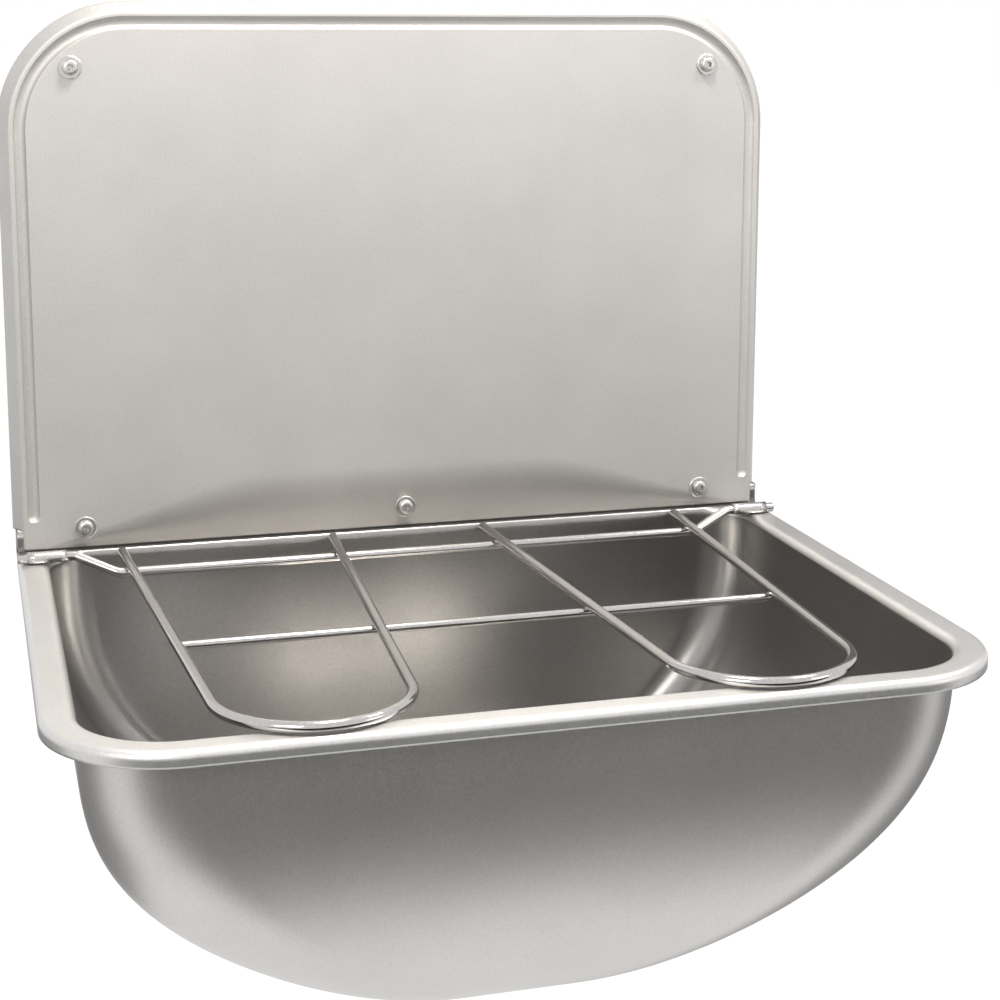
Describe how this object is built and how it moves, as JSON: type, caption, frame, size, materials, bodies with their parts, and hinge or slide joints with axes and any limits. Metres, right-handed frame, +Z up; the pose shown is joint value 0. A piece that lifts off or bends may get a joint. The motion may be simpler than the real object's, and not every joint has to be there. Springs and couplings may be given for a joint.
{
  "type": "slop sink",
  "caption": "Wall-hung stainless steel slop sink: deep drawn bowl with rolled rim, grooved splashback, and a hinged wire grate that carries a bucket over the bowl.",
  "frame": {"origin": "centre of the four corner wall screws, on the wall plane that the splashback's flanges stand on", "axes": "+X to the user's right along the wall, +Y into the wall, +Z up"},
  "size_m": [0.503, 0.422, 0.6055],
  "materials": {
    "sheet_steel": "satin pressed sheet",
    "wire_steel": "polished round wire",
    "fastener_steel": "bright turned and pressed steel",
    "black_rubber": "matt black rubber",
    "waste_plastic": "off-white moulded plastic"
  },
  "bodies": {
    "sink": {"bowl_shell": "sheet_steel", "splashback_panel": "sheet_steel", "hinge_clip_left": "sheet_steel", "hinge_clip_right": "sheet_steel", "top_wall_screws": "fastener_steel", "bottom_wall_screws": "fastener_steel", "top_screw_washers": "fastener_steel", "bottom_screw_washers": "fastener_steel", "waste_strainer": "fastener_steel", "waste_upper_gasket": "black_rubber", "waste_lower_gasket": "black_rubber", "waste_body": "waste_plastic", "waste_centre_screw": "fastener_steel"},
    "grate": {"grate_hinge_bar": "wire_steel", "grate_cross_bar": "wire_steel", "grate_left_loop": "wire_steel", "grate_right_loop": "wire_steel"}
  },
  "joints": [
    {"name": "grate_hinge", "type": "hinge", "parent": "sink", "child": "grate", "pos_m": [0, -0.04, -0.1542], "axis": [-1, 0, 0], "range_deg": [0, 94.2]}
  ]
}
